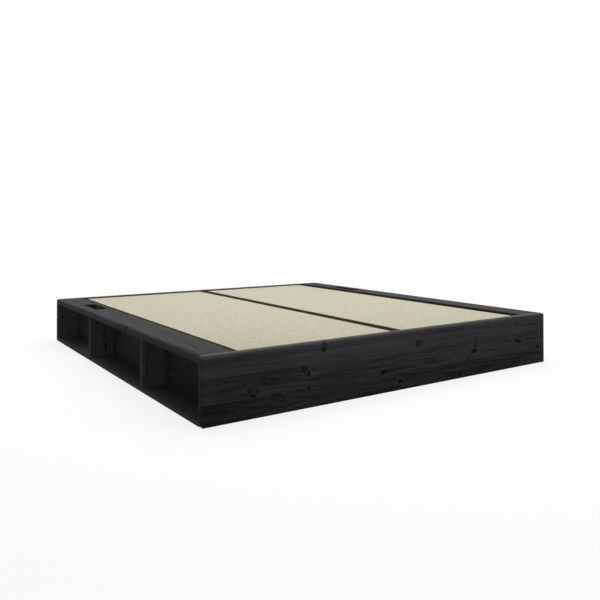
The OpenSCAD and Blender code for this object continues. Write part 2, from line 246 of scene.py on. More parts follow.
# The sky lights the object dimly, and shows as white behind it
SKY_LEVEL = 0.11
WHITE = (1, 1, 1)
FLOOR_COLOUR = (0.22, 0.22, 0.22)
FLOOR_SIZE = 60
FLOOR_GLOW = 0.82
# Share of that glow under the bed, and how far it fades in
UNDER_GLOW = 0.12
UNDER_EDGE = 20 * MM
# Where the floor starts to turn to bare white, and where it is white
WHITE_FROM = 2.2
WHITE_AT = 4.5


def make_camera():
    camera = bpy.data.cameras.new("camera")
    camera.sensor_width = SENSOR_MM
    camera.lens = FOCAL_PIXELS * SENSOR_MM / PICTURE
    camera.shift_x = (PICTURE / 2 - CENTRE_PIXEL[0]) / PICTURE
    camera.shift_y = (CENTRE_PIXEL[1] - PICTURE / 2) / PICTURE
    camera.clip_end = CAMERA_REACH
    holder = new_object("camera", camera)
    holder.location = CAMERA_PLACE
    holder.rotation_euler = (QUARTER_TURN + CAMERA_PITCH, 0, -CAMERA_YAW)
    bpy.context.scene.camera = holder


def make_lamp(name, place, aim, size, watts):
    lamp = bpy.data.lights.new(name, "AREA")
    lamp.shape = "RECTANGLE"
    lamp.size, lamp.size_y = size
    lamp.energy = watts
    holder = new_object(name, lamp)
    holder.location = place
    direction = Vector(aim) - Vector(place)
    holder.rotation_euler = direction.to_track_quat("-Z", "Y").to_euler()


def seen_share(g):
    """1 for rays that show the background: from the camera, in gloss and through glass."""
    path = g.make("ShaderNodeLightPath")
    seen = g.larger(path.outputs["Is Camera Ray"], path.outputs["Is Glossy Ray"])
    return g.larger(seen, path.outputs["Is Transmission Ray"])


def make_world():
    world = bpy.data.worlds.new("studio")
    world.use_nodes = True
    bpy.context.scene.world = world
    g = Graph(world.node_tree)
    light = g.feed(g.nodes["Background"], Color=colour(WHITE), Strength=SKY_LEVEL)
    white = g.feed(g.make("ShaderNodeBackground"), Color=colour(WHITE))
    mixed = g.mixed(seen_share(g), light, white)
    g.links.new(mixed, g.nodes["World Output"].inputs["Surface"])


def glow_share(g, x, y):
    """1 on the floor beside the bed, falling to UNDER_GLOW under it."""
    high = cad_bounds[1]
    past_x = g.minus(g.size(x), high[0] - UNDER_EDGE)
    past_y = g.minus(g.size(y), high[1] - UNDER_EDGE)
    return g.step(g.larger(past_x, past_y), 0.0, UNDER_EDGE, UNDER_GLOW, 1.0)


def make_floor():
    """A floor that takes the bed's shadow and turns to bare white far off."""
    bpy.ops.mesh.primitive_plane_add(size=FLOOR_SIZE)
    floor = bpy.context.object
    floor.name = "floor"
    g = MaterialGraph("floor_white")
    x, y, _ = g.split(g.place)
    seen = seen_share(g)
    diffuse = g.feed(g.make("ShaderNodeBsdfDiffuse"), Color=colour(FLOOR_COLOUR))
    level = g.times(seen, glow_share(g, x, y), FLOOR_GLOW)
    glow = g.feed(g.make("ShaderNodeEmission"), Strength=level)
    lit = g.feed(g.make("ShaderNodeAddShader"), diffuse, glow)
    bare = g.feed(g.make("ShaderNodeEmission"))
    away = g.root(g.add(g.times(x, x), g.times(y, y)))
    white = g.times(g.step(away, WHITE_FROM, WHITE_AT), seen)
    g.links.new(g.mixed(white, lit, bare), g.nodes["Material Output"].inputs["Surface"])
    floor.data.materials.append(g.material)


# ---- pine

# Marks on the foot panel as the photograph shows them: place along the bed's width and height over
# the floor in metres, half length and half height in millimetres, tilt in degrees, and strength.
# Ring knots are dark at the rim, full knots are dark all over.
FOOT_RING_KNOTS = [
    (-0.427, 0.227, 10, 20, -14, 1.0),
    (-0.512, 0.141, 27, 10, -48, 1.0),
    (-0.740, 0.097, 21, 23, 10, 0.45),
    (-0.634, 0.058, 34, 16, -18, 0.55),
    (0.069, 0.184, 16, 13, 0, 0.9),
    (0.725, 0.212, 20, 8, -20, 0.4),
]
FOOT_KNOTS = [
    (-0.740, 0.084, 8, 7, 0, 1.0),
    (-0.759, 0.099, 5, 8, 0, 0.7),
    (-0.690, 0.122, 9, 4, 0, 0.8),
    (-0.499, 0.078, 9, 6, 0, 1.0),
    (-0.256, 0.016, 4, 9, 0, 0.8),
    (-0.126, 0.088, 19, 8, 10, 1.0),
    (-0.024, 0.066, 10, 6, -30, 0.5),
    (-0.036, 0.038, 12, 8, 0, 1.2),
    (0.189, 0.124, 6, 9, 0, 0.4),
    (0.419, 0.112, 21, 9, 12, 1.0),
    (0.429, 0.148, 6, 30, -6, 0.6),
    (0.378, 0.081, 14, 6, 28, 0.9),
    (0.325, 0.022, 16, 9, 42, 1.2),
    (0.569, 0.052, 9, 7, 0, 1.1),
    (0.728, 0.128, 26, 8, -20, 0.9),
    (0.884, 0.083, 13, 6, 0, 1.1),
    (0.520, 0.214, 10, 5, 20, 0.7),
]
# Darker streaks in the wood; the first two, broad ones are painted shade on the panel's left end and top
# left
FOOT_STREAKS_AND_SHADE = [
    (-0.800, 0.165, 270, 150, 0, 0.44),
    (-0.860, 0.215, 170, 30, 0, 0.80),
    (-0.875, 0.050, 130, 16, 0, 0.55),
    (-0.715, 0.222, 22, 12, 0, 0.35),
    (-0.620, 0.163, 130, 4, -1, 0.45),
    (-0.463, 0.078, 42, 3, 0, 0.8),
    (-0.400, 0.107, 110, 5, 1, 0.45),
    (-0.190, 0.110, 150, 5, 1, 0.55),
    (-0.095, 0.144, 120, 6, 2, 0.55),
    (0.190, 0.147, 190, 4, 1, 0.65),
    (0.120, 0.114, 130, 4, 0, 0.6),
    (0.225, 0.220, 130, 11, -2, 0.45),
    (0.250, 0.056, 170, 4, 0, 0.5),
    (0.465, 0.213, 62, 4, 1, 0.8),
    (0.490, 0.053, 90, 4, 0, 0.6),
    (0.650, 0.204, 50, 4, 0, 0.6),
    (0.800, 0.122, 110, 14, 4, 0.40),
    (0.790, 0.164, 110, 4, 6, 0.5),
    (0.870, 0.083, 50, 3, 0, 0.6),
]
FOOT_PALE_MARKS = [
    (-0.405, 0.203, 40, 5, 12, 0.6),
    (-0.120, 0.190, 170, 17, -2, 0.45),
    (0.069, 0.184, 34, 26, 0, 0.5),
    (0.150, 0.186, 170, 10, -3, 0.35),
    (0.176, 0.130, 7, 14, 0, 0.35),
    (0.534, 0.222, 8, 24, -12, 0.9),
    (0.560, 0.190, 60, 16, 0, 0.35),
    (0.678, 0.150, 30, 9, -38, 0.9),
    (0.480, 0.128, 60, 4, 12, 0.4),
    (0.700, 0.185, 70, 12, -22, 0.4),
]

# Knots that show on other boards, as places along and across their grain
BOARD_KNOTS = {
    "head_panel": [(-0.909, 0.138, 8, 6, 0, 0.8), (-0.875, 0.035, 12, 5, 0, 0.7)],
    "left_top_board": [(-0.235, -0.940, 14, 11, 0, 1.1), (-0.680, -0.940, 10, 10, 0, 0.4)],
    "left_back_board": [
        (-0.443, 0.074, 7, 7, 0, 1.2),
        (-0.637, 0.127, 10, 9, 0, 1.3),
        (0.016, 0.065, 8, 8, 0, 1.1),
    ],
    "left_head_divider": [(0.068, -0.859, 17, 5, 0, 1.0), (0.125, -0.868, 20, 9, 0, 0.3)],
    "left_foot_divider": [(0.120, -0.915, 70, 4, 0, 0.45), (0.074, -0.825, 7, 6, 0, 1.1)],
}

BLACK_STAIN = {
    "dark": (0.0085, 0.0085, 0.0085),
    "light": (0.072, 0.072, 0.072),
    "knot": (0.0025, 0.0025, 0.0025),
    # Pale colour of worn arrises, also painted on the end panels' crests as a highlight
    "wear_and_highlight": (0.125, 0.125, 0.125),
    "ring": 0.30,
    "band": 0.60,
    "streak": 1.00,
    "mottle": 0.36,
    "gloss": 0.03,
    "rough": 0.68,
}
BARE_PINE = {
    "dark": (0.50, 0.30, 0.13),
    "light": (0.72, 0.52, 0.29),
    "knot": (0.16, 0.065, 0.022),
    "wear_and_highlight": (0.76, 0.58, 0.36),
    "ring": 0.75,
    "band": 0.90,
    "streak": 0.45,
    "mottle": 0.20,
    "gloss": 0.35,
    "rough": 0.58,
}
# Strength of the rub and painted highlight on a board's crest, of the rub on its arrises, and the rub's
# width on an arris
CREST_RUB_AND_HIGHLIGHT = 0.75
ARRIS_RUB = 0.30
ARRIS_WIDE = 5 * MM
# How far down an end panel the rubbed crest with its painted highlight reaches, and how deep the foot
# panel's marks go
CREST = 17 * MM
MARKS_DEPTH = (18 * MM, 24 * MM)

# Where a listed mark starts to fade and ends: squares of the distance, in its half sizes
KNOT_EDGE = (0.50, 1.80)
KNOT_EYE = (0.06, 0.64)
KNOT_HALO = (1.4, 7.0)
STREAK_EDGE = (0.04, 1.44)
PALE_EDGE = (0.01, 1.70)
# How ragged a mark's outline is: noise along and across it, and its reach in metres
RAGGED_ALONG = (110, 190, 2)
RAGGED_ACROSS = (150, 90, 2)
RAGGED_REACH = (0.014, 0.010)

# Knots made by formula: distance along and across the grain, radius, shift from stave to stave, and
# share of places with a knot
KNOT_PITCH = (0.34, 0.085)
KNOT_RADIUS = (4 * MM, 13 * MM)
STAVE_SHIFT = 3.7
KNOTTY = 0.35
FEW_KNOTS = 0.08
NO_KNOTS = -1.0

# Width of an annual ring, rings gained for each metre of trunk, and their unevenness
RING = 4.6 * MM
TAPER = 4.0
UNEVEN = 3.0
# The pith: its swing across the stave, its distance behind the board, and more by luck
PITH_ASIDE = 70 * MM
PITH_BEHIND = 15 * MM
PITH_FURTHER = 60 * MM
# The grain's wander, slow and quick
SLOW_WANDER = 60 * MM
QUICK_WANDER = 6 * MM
# Where in a ring its dark late wood sets in and stops
LATE_FROM = (0.25, 0.85)
LATE_TO = (0.88, 1.0)

# Layers of noise: rate along the grain, rate across it, detail, roughness
SLOW = (1.1, 2.5, 1)
QUICK = (7.0, 22.0, 2)
STREAK = (1.5, 62, 4, 0.62)
LINE = (1.9, 130, 2)
MOTTLE = (22, 75, 2)
FIBRE = (9, 520, 3, 0.65)
FLECK = (34, 1400, 1)
# The same over the rings: rate outwards, rate along the grain, detail
UNEVEN_RINGS = (60, 0.4, 2)
STRONG = (0.37, 0.9, 2)
BAND = (0.11, 0.5, 2)

# Stained boards: grain axis, axis across, the staves' edges and tones, seed, share of knots
END_PANELS = {
    "foot_panel": ("x", "z", (0.075, 0.165), (-0.13, 0.10, 0.22), 1.0, KNOTTY),
    # The head panel's pale tones, palest low down, are painted light where the low front light falls
    # into the far bay
    "head_panel": ("x", "z", (0.082, 0.164), (0.62, 0.60, 0.42), 7.0, KNOTTY),
}
UNIT_BOARDS = {
    "top_board": ("y", "x", (0.069,), (0.10, 0.03), 11.0, FEW_KNOTS),
    "back_board": ("y", "z", (0.08, 0.16), (0, 0, 0), 21.0, KNOTTY),
    # The floor boards' pale tones are painted light that brightens the bays' floors
    "floor_board": ("y", "x", (0.06,), (0.48, 0.55), 31.0, FEW_KNOTS),
    "foot_divider": ("z", "x", (0.06,), (0.02, -0.05), 41.0, KNOTTY),
    "head_divider": ("z", "x", (0.06,), (0.32, 0.14), 51.0, KNOTTY),
}
SLATS_SEED = 61.0
LEDGE_SEED = 71.0
BEAM_SEED = 81.0
LEG_SEED = 91.0
DOWEL_SEED = 101.0

# Slats of one side, and a slat's width and the flat width of its top
SLAT_COUNT = 14
SLAT_WIDE = 75 * MM
SLAT_FLAT = 69 * MM
# How far before a slat its own luck sets in, and the middle of its wood
SLAT_LEAD = 20 * MM
SLAT_MIDDLE = 37 * MM


class Board:
    """A board's box, and a point on it: u along the grain, v across it, w through it."""

    def __init__(self, g, node, grain, across):
        through = (set(AXES) - {grain, across}).pop()
        place = g.split(g.place)
        self.node = node
        self.low, self.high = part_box(node)
        self.u = place[AXES[grain]]
        self.v = place[AXES[across]]
        self.w = place[AXES[through]]
        self.start = self.low[AXES[across]]
        self.width = self.high[AXES[across]] - self.start
        self.back = self.low[AXES[through]]


def mark_reach(g, point, mark):
    """Square of the distance of (u, v, 1) from a mark's middle, in half sizes of the mark."""
    along, across, half_u, half_v, tilt, _ = mark
    c = math.cos(math.radians(tilt))
    s = math.sin(math.radians(tilt))
    wide = half_u * MM
    high = half_v * MM
    one = g.dot(point, (c / wide, s / wide, -(along * c + across * s) / wide))
    two = g.dot(point, (-s / high, c / high, (along * s - across * c) / high))
    return g.add(g.times(one, one), g.times(two, two))


def board_marks(g, u, v, rings=(), knots=(), streaks_and_shade=(), pale_marks=()):
    """A board's listed marks: grain push, and how far they darken, pale and shade the wood."""
    rough_u = g.add(u, g.swing(g.layer(RAGGED_ALONG, u, v), RAGGED_REACH[0]))
    rough_v = g.add(v, g.swing(g.layer(RAGGED_ACROSS, v, u, 5.0), RAGGED_REACH[1]))
    point = g.join(rough_u, rough_v, 1.0)
    push = dark = pale = shade = 0.0
    for mark in [*rings, *knots]:
        strength = mark[5]
        reach = mark_reach(g, point, mark)
        push = g.add(push, g.over(g.times(g.minus(v, mark[1]), 0.7), g.larger(reach, 1.0)))
        full = g.step(reach, *KNOT_EDGE, strength, 0.0)
        if mark in rings:
            full = g.minus(full, g.step(reach, *KNOT_EYE, strength * 0.75, 0.0))
        dark = g.larger(dark, full)
        pale = g.larger(pale, g.step(reach, *KNOT_HALO, 0.35 * strength, 0.0))
    for mark in streaks_and_shade:
        shade = g.larger(shade, g.step(mark_reach(g, point, mark), *STREAK_EDGE, mark[5], 0.0))
    for mark in pale_marks:
        pale = g.larger(pale, g.step(mark_reach(g, point, mark), *PALE_EDGE, mark[5], 0.0))
    return push, g.smaller(dark, 1.0), pale, shade


def scattered_knots(g, u, v, seed, share):
    """Knots strewn over a board: grain push, darkness, and the pale wood round them."""
    pitch_u, pitch_v = KNOT_PITCH
    place = g.join(g.add(g.times(u, 1 / pitch_u), seed), g.times(v, 1 / pitch_v), seed)
    cells = g.make("ShaderNodeTexVoronoi", voronoi_dimensions="2D")
    g.feed(cells, Vector=place, Scale=1.0)
    offset = g.make("ShaderNodeVectorMath", operation="SUBTRACT")
    du, dv, _ = g.split(g.feed(offset, place, cells.outputs["Position"]))
    du = g.times(du, pitch_u)
    dv = g.times(dv, pitch_v)
    pick, size, _ = g.split(cells.outputs["Color"])
    here = g.step(pick, share - 0.01, share + 0.01, 1.0, 0.0)
    radius = g.times(g.spread(size, 0.0, 1.0, *KNOT_RADIUS), g.larger(here, 0.02))
    away = g.root(g.add(g.times(du, du, 0.5), g.times(dv, dv)))
    q = g.over(away, radius)
    push = g.times(g.over(dv, g.larger(g.times(q, q), 1.0)), here)
    full = g.times(g.step(q, 0.8, 1.15, 1.0, 0.0), here)
    eye = g.times(g.step(q, 0.2, 0.7, 0.45, 0.0), here)
    return push, g.minus(full, eye), g.times(g.step(q, 1.1, 3.0, 0.5, 0.0), here)


def knots_on(g, board, stave, seed, knotty):
    """All knots and marks: grain push, darkness, pale wood and shade."""
    if board.node == "foot_panel":
        lists = (FOOT_RING_KNOTS, FOOT_KNOTS, FOOT_STREAKS_AND_SHADE, FOOT_PALE_MARKS)
        push, *looks = board_marks(g, board.u, board.v, *lists)
        start, end = MARKS_DEPTH
        on_face = g.step(board.w, board.back + start, board.back + end, 1.0, 0.0)
        return push, *(g.times(look, on_face) for look in looks)
    along = g.add(board.u, g.times(stave, STAVE_SHIFT))
    push, dark, pale = scattered_knots(g, along, board.v, seed, knotty)
    if board.node in BOARD_KNOTS:
        own_push, own_dark, own_pale, _ = board_marks(g, board.u, board.v, knots=BOARD_KNOTS[board.node])
        push = g.add(push, own_push)
        dark = g.larger(dark, own_dark)
        pale = g.larger(pale, own_pale)
    return push, dark, pale, 0.0


def crest_rub_and_highlight(g, board):
    """1 along the rounded crest of an end panel, where hands and bedding rub it and a highlight is
    painted on the rounding.
    """
    face = board.low.y if board.node == "foot_panel" else board.high.y
    down = g.minus(board.high.z, board.v)
    inside = g.size(g.minus(board.w, face))
    rub = g.layer((9, 60, 3), board.u, board.v)
    crest = g.times(g.step(down, 0.0, CREST, 1.0, 0.0), g.step(inside, 0.0, CREST, 0.35, 1.0))
    return g.times(crest, g.spread(rub, 0.3, 0.7, 0.55, 1.0))


def edge_wear(g, board):
    """1 on the arrises of a board, fading within ARRIS_WIDE of them."""
    sides = []
    for axis, value in enumerate(g.split(g.place)):
        middle = (board.low[axis] + board.high[axis]) / 2
        half = (board.high[axis] - board.low[axis]) / 2
        sides.append(g.minus(half, g.size(g.minus(value, middle))))
    a, b, c = sides
    near = g.larger(g.smaller(a, b), g.smaller(g.larger(a, b), c))
    rub = g.noise(g.place, 60, 3)
    return g.times(g.step(near, 0.0, ARRIS_WIDE, 1.0, 0.0), g.step(rub, 0.4, 0.62))


def pick_stave(g, board, staves, tones):
    """The number of the stave at a point, the place of its middle, and its tone."""
    stave = 0.0
    tone = tones[0]
    for number, edge in enumerate(staves):
        past = g.math("GREATER_THAN", board.v, board.start + edge)
        stave = g.add(stave, past)
        tone = g.add(tone, g.times(past, tones[number + 1] - tones[number]))
    wide = board.width / (len(staves) + 1)
    return stave, g.add(g.times(stave, wide), board.start + wide / 2), tone


def pick_slat(g, board, pitch):
    """The same for the slats of one side, which all have one tone."""
    slat = g.whole(g.times(g.minus(board.v, board.start - SLAT_LEAD), 1 / pitch))
    return slat, g.add(g.times(slat, pitch), board.start + SLAT_MIDDLE), 0.0


def year_rings(g, board, push, stave, middle, own):
    """Rings round a pith off the board: v along the wandering grain, late wood, its strength, bands."""
    slow = g.layer(SLOW, board.u, board.v, own)
    quick = g.layer(QUICK, board.u, board.v, own)
    wander = g.add(g.swing(slow, SLOW_WANDER), g.swing(quick, QUICK_WANDER))
    bent = g.add(g.minus(board.v, push), wander)
    pith_v = g.add(middle, g.swing(g.chance(own, 3.3), PITH_ASIDE))
    pith_w = g.minus(board.back - PITH_BEHIND, g.times(g.chance(own, 8.1), PITH_FURTHER))
    from_v = g.minus(bent, pith_v)
    from_w = g.minus(board.w, pith_w)
    radius = g.root(g.add(g.times(from_v, from_v), g.times(from_w, from_w)))
    uneven = g.layer(UNEVEN_RINGS, radius, board.u, own)
    rings = g.add(g.times(radius, 1 / RING), g.times(board.u, TAPER), g.times(uneven, UNEVEN))
    phase = g.part(rings)
    late = g.times(g.step(phase, *LATE_FROM), g.step(phase, *LATE_TO, 1.0, 0.0))
    strong = g.layer(STRONG, g.whole(rings), board.u, stave)
    band = g.layer(BAND, rings, board.u, g.add(stave, 4.0))
    return bent, late, strong, band


def grain_layer(g, rates, board, bent, shift=None):
    """Noise along the bent grain, as fine through the board as across it."""
    deep = g.times(board.w, rates[1])
    if shift is not None:
        deep = g.add(deep, shift)
    return g.layer(rates, board.u, bent, deep)


def pine(name, node, finish, grain, across, staves=(), tones=(0,), seed=1.0, knotty=KNOTTY, pitch=None):
    """Pine with its annual rings, fibres and knots. Grain runs along one axis and the staves lie side
    by side across it, each with a tone; a pitch tells separate slats apart instead."""
    g = MaterialGraph(name)
    board = Board(g, node, grain, across)
    if pitch:
        stave, middle, tone = pick_slat(g, board, pitch)
    else:
        stave, middle, tone = pick_stave(g, board, staves, tones)
    own = g.add(stave, seed)

    # Knots first, because they push the grain aside
    push, dark, pale, shade = knots_on(g, board, stave, seed, knotty)
    bent, late, strong, band = year_rings(g, board, push, stave, middle, own)
    streak = grain_layer(g, STREAK, board, bent, stave)
    line = grain_layer(g, LINE, board, bent, seed)
    mottle = grain_layer(g, MOTTLE, board, bent)
    fibre = grain_layer(g, FIBRE, board, bent)
    fleck = grain_layer(g, FLECK, board, bent)

    # Colour: each layer's weight in a point's share of the light colour
    share = g.add(
        g.times(g.minus(late, 0.35), g.spread(strong, 0.35, 0.70, 0.02, 1.0), finish["ring"]),
        g.swing(band, finish["band"]),
        g.swing(streak, finish["streak"]),
        g.times(g.step(line, 0.56, 0.72), -0.28 * finish["streak"]),
        g.swing(fibre, 0.7),
        g.swing(mottle, finish["mottle"]),
        g.swing(g.chance(own, 5.7), 0.12),
        g.times(pale, 0.35),
        g.times(shade, -0.40),
        tone,
        0.50,
    )
    base = g.blend(g.limited(share), finish["dark"], finish["light"])
    base = g.blend(g.step(fleck, 0.62, 0.72, 0.0, 0.35), base, finish["dark"])
    base = g.blend(dark, base, finish["knot"])
    base = g.blend(g.times(edge_wear(g, board), ARRIS_RUB), base, finish["wear_and_highlight"])
    # The end panels' crests take the pale colour, as rub and as a painted highlight
    crest = 0.0
    if node in END_PANELS:
        crest = crest_rub_and_highlight(g, board)
        base = g.blend(g.times(crest, CREST_RUB_AND_HIGHLIGHT), base, finish["wear_and_highlight"])

    height = g.add(
        g.times(late, 0.06 * MM),
        g.times(fibre, 0.10 * MM),
        g.times(dark, -0.12 * MM),
        g.times(g.step(fleck, 0.6, 0.75), -0.08 * MM),
    )
    g.bump(height)
    rough = g.add(g.swing(fibre, 0.30), g.times(late, -0.06), g.times(crest, -0.25), finish["rough"])
    return g.finish(base, rough, Specular_IOR_Level=finish["gloss"])


def bare_pine(node, grain, across, seed, **settings):
    put_material(node, pine(f"bare_{node}", node, BARE_PINE, grain, across, seed=seed, **settings))


def dress_pine():
    """Every board, each with its own grain direction and luck."""
    for node, looks in END_PANELS.items():
        put_material(node, pine(f"stained_{node}", node, BLACK_STAIN, *looks))
    for number, side in enumerate(SIDES):
        for part, (grain, across, staves, tones, seed, knotty) in UNIT_BOARDS.items():
            node = f"{side}_{part}"
            looks = (grain, across, staves, tones, seed + number, knotty)
            put_material(node, pine(f"stained_{node}", node, BLACK_STAIN, *looks))
    low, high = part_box("left_slats")
    pitch = (high.y - low.y - SLAT_WIDE) / (SLAT_COUNT - 1)
    for number, side in enumerate(SIDES):
        bare_pine(f"{side}_slats", "x", "y", SLATS_SEED + number, pitch=pitch)
        bare_pine(f"{side}_ledge", "y", "z", LEDGE_SEED + number)
    put_material("centre_beam", pine("bare_beam", "centre_beam", BARE_PINE, "y", "z", seed=BEAM_SEED))
    for number, leg in enumerate(("foot_leg", "middle_leg", "head_leg")):
        bare_pine(leg, "z", "x", LEG_SEED + number)


# ---- fittings

# Metals: colour, roughness, and height of the fine wear
METALS = {
    "bracket_steel": ((0.52, 0.53, 0.54), 0.38, 0.04 * MM),
    "zinc_plate": ((0.66, 0.67, 0.68), 0.28, 0.04 * MM),
    "cast_zinc": ((0.50, 0.50, 0.51), 0.46, 0.08 * MM),
}
GLIDE_COLOUR = (0.20, 0.20, 0.20)
GLIDE_ROUGH = 0.45
# Rates of the noise for clouds and for the fine grain
METAL_CLOUD = 240
METAL_GRAIN = 2600
PLASTIC_CLOUD = 90
PLASTIC_GRAIN = 1800

# Cross recess in a screw's head
RECESS_ARM = 2.2 * MM
RECESS_WIDE = 1.1 * MM
RECESS_DEEP = 1.9 * MM
RECESS_ABOVE = 0.3 * MM
RECESS_TAPER = 0.45
# Corners this close are one; and how far from a screw's end its width is taken
WELD = 0.001 * MM
END_REACH = 1 * MM

RIBBON_WIDE = 35 * MM
# Staples that hold each ribbon down on each slat
STAPLE_HALF = 5 * MM
STAPLE_LEG = 4 * MM
STAPLE_WIRE = 0.35 * MM
STAPLE_BEND = 1 * MM
STAPLE_BENDS = 4
STAPLE_SIDES = 6
# How far the middle of a staple's crown lies below the mats' underside
STAPLE_SUNK = 0.36 * MM
# How far a staple strays across and along the ribbon, in millimetres, and turns
STAPLE_STRAY = (4, 6)
STAPLE_TURN = 0.12


def darker(base, share):
    return tuple(share * c for c in base)


def metal(name):
    """Plated steel or cast zinc, with fine wear in its colour and gloss."""
    base, rough, scratch = METALS[name]
    g = MaterialGraph(name)
    cloud = g.noise(g.place, METAL_CLOUD, 3)
    fine = g.noise(g.place, METAL_GRAIN, 2)
    tone = g.blend(g.step(cloud, 0.35, 0.65), base, darker(base, 0.72))
    g.bump(g.times(fine, scratch))
    return g.finish(tone, g.add(g.swing(cloud, 0.35), rough), Metallic=1.0)


def glide_plastic():
    g = MaterialGraph("glide_plastic")
    fine = g.noise(g.place, PLASTIC_GRAIN, 2)
    cloud = g.noise(g.place, PLASTIC_CLOUD, 2)
    tone = g.blend(g.step(cloud, 0.3, 0.7, 0.0, 0.5), GLIDE_COLOUR, darker(GLIDE_COLOUR, 0.8))
    g.bump(g.times(fine, 0.05 * MM))
    return g.finish(tone, g.add(g.swing(fine, 0.2), GLIDE_ROUGH))


def loose_solids(mesh):
    """The corner points of each separate solid in a mesh."""
    shape = bmesh.new()
    shape.from_mesh(mesh)
    bmesh.ops.remove_doubles(shape, verts=shape.verts, dist=WELD)
    taken = set()
    solids = []
    for start in shape.verts:
        if start in taken:
            continue
        taken.add(start)
        reached = [start]
        for vert in reached:
            for edge in vert.link_edges:
                other = edge.other_vert(vert)
                if other not in taken:
                    taken.add(other)
                    reached.append(other)
        solids.append([vert.co.copy() for vert in reached])
    shape.free()
    return solids


def mesh_of(name, shape):
    """A mesh of a closed shape, with its faces looking outwards."""
    bmesh.ops.recalc_face_normals(shape, faces=shape.faces)
    mesh = bpy.data.meshes.new(name)
    shape.to_mesh(mesh)
    shape.free()
    return mesh


def screw_head(points):
    """A screw's axis number, the middle of its head, and 1 or -1 for the way out of it."""
    low = Vector([min(point[k] for point in points) for k in range(3)])
    high = Vector([max(point[k] for point in points) for k in range(3)])
    axis = max(range(3), key=lambda k: high[k] - low[k])
    middle = (low + high) / 2
    widths = []
    for end in (low, high):
        near = [point - middle for point in points if abs(point[axis] - end[axis]) < END_REACH]
        widths.append(max(abs(offset[k]) for offset in near for k in range(3) if k != axis))
    outwards = 1 if widths[1] > widths[0] else -1
    middle[axis] = high[axis] if outwards == 1 else low[axis]
    return axis, middle, outwards


def cross_outline(turn):
    """The corners of a cross in a plane, one arm after the other."""
    corners = []
    half = RECESS_WIDE / 2
    for quarter in range(4):
        c = math.cos(turn + quarter * QUARTER_TURN)
        s = math.sin(turn + quarter * QUARTER_TURN)
        for a, b in ((RECESS_ARM, -half), (RECESS_ARM, half), (half, half)):
            corners.append((a * c - b * s, a * s + b * c))
    return corners


def add_recess(shape, points, turn):
    """Add the cross-shaped cutter for one screw's head."""
    axis, middle, outwards = screw_head(points)
    one, two = [k for k in range(3) if k != axis]
    rings = []
    for depth, scale in ((RECESS_ABOVE, 1.0), (-RECESS_DEEP, RECESS_TAPER)):
        ring = []
        for a, b in cross_outline(turn):
            corner = middle.copy()
            corner[one] += a * scale
            corner[two] += b * scale
            corner[axis] += depth * outwards
            ring.append(shape.verts.new(corner))
        rings.append(ring)
    top, bottom = rings
    shape.faces.new(top)
    shape.faces.new(reversed(bottom))
    for k in range(len(top)):
        after = (k + 1) % len(top)
        shape.faces.new((top[k], bottom[k], bottom[after], top[after]))


def recess_cutter(node):
    luck = random.Random(node)
    shape = bmesh.new()
    for points in loose_solids(NODES[node].data):
        add_recess(shape, points, luck.uniform(0, QUARTER_TURN))
    return new_object("recess_cutter", mesh_of("recess_cutter", shape))


def make_screws(node, material):
    """A node's screws, with a cross recess cut into each head."""
    cutter = recess_cutter(node)
    piece = new_object(f"{node}_recessed", NODES[node].data.copy())
    cut = piece.modifiers.new("recess", "BOOLEAN")
    cut.operation = "DIFFERENCE"
    cut.solver = "EXACT"
    cut.object = cutter
    bpy.context.view_layer.update()
    whole = piece.evaluated_get(bpy.context.evaluated_depsgraph_get())
    mesh = bpy.data.meshes.new_from_object(whole)
    piece.modifiers.clear()
    piece.data = mesh
    bpy.data.objects.remove(cutter)
    mesh.materials.clear()
    mesh.materials.append(material)
    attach(piece, "frame")
    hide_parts(node)


def staple_path():
    """A staple's wire from one point to the other, in a plane: across and up from its crown."""
    path = [(-STAPLE_HALF, -STAPLE_LEG)]
    for k in range(STAPLE_BENDS + 1):
        turn = QUARTER_TURN * k / STAPLE_BENDS
        across = -STAPLE_HALF + STAPLE_BEND * (1 - math.cos(turn))
        path.append((across, -STAPLE_BEND * (1 - math.sin(turn))))
    return path + [(-across, up) for across, up in reversed(path)]


def add_staple(shape, x, y, z, turn):
    """Add one staple, with the middle of its crown at a point."""
    path = staple_path()
    rings = []
    for k, (across, up) in enumerate(path):
        before = path[max(k - 1, 0)]
        after = path[min(k + 1, len(path) - 1)]
        slope = math.atan2(after[1] - before[1], after[0] - before[0])
        ring = []
        for n in range(STAPLE_SIDES):
            angle = 2 * math.pi * n / STAPLE_SIDES
            out = STAPLE_WIRE * math.cos(angle)
            aside = STAPLE_WIRE * math.sin(angle)
            reach = across - out * math.sin(slope)
            place_x = x + reach * math.cos(turn) - aside * math.sin(turn)
            place_y = y + reach * math.sin(turn) + aside * math.cos(turn)
            place_z = z + up + out * math.cos(slope)
            ring.append(shape.verts.new((place_x, place_y, place_z)))
        rings.append(ring)
    for one, two in zip(rings, rings[1:]):
        for n in range(STAPLE_SIDES):
            after = (n + 1) % STAPLE_SIDES
            shape.faces.new((one[n], two[n], two[after], one[after]))
    shape.faces.new(rings[0])
    shape.faces.new(reversed(rings[-1]))


def make_staples(side, material):
    """A staple where each ribbon crosses each slat, a little off its place."""
    low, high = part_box(f"{side}_ribbons")
    solids = loose_solids(NODES[f"{side}_slats"].data)
    slats = sorted(min(point.y for point in points) for points in solids)
    stray_x, stray_y = STAPLE_STRAY
    luck = random.Random(f"{side} staples")
    shape = bmesh.new()
    for ribbon in (low.x + RIBBON_WIDE / 2, high.x - RIBBON_WIDE / 2):
        for slat in slats:
            x = ribbon + luck.uniform(-stray_x, stray_x) * MM
            y = slat + SLAT_WIDE / 2 + luck.uniform(-stray_y, stray_y) * MM
            turn = luck.uniform(-STAPLE_TURN, STAPLE_TURN)
            add_staple(shape, x, y, high.z - STAPLE_SUNK, turn)
    mesh = mesh_of(f"{side}_staples", shape)
    mesh.materials.append(material)
    piece = new_object(f"{side}_staples", mesh)
    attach(piece, "frame")


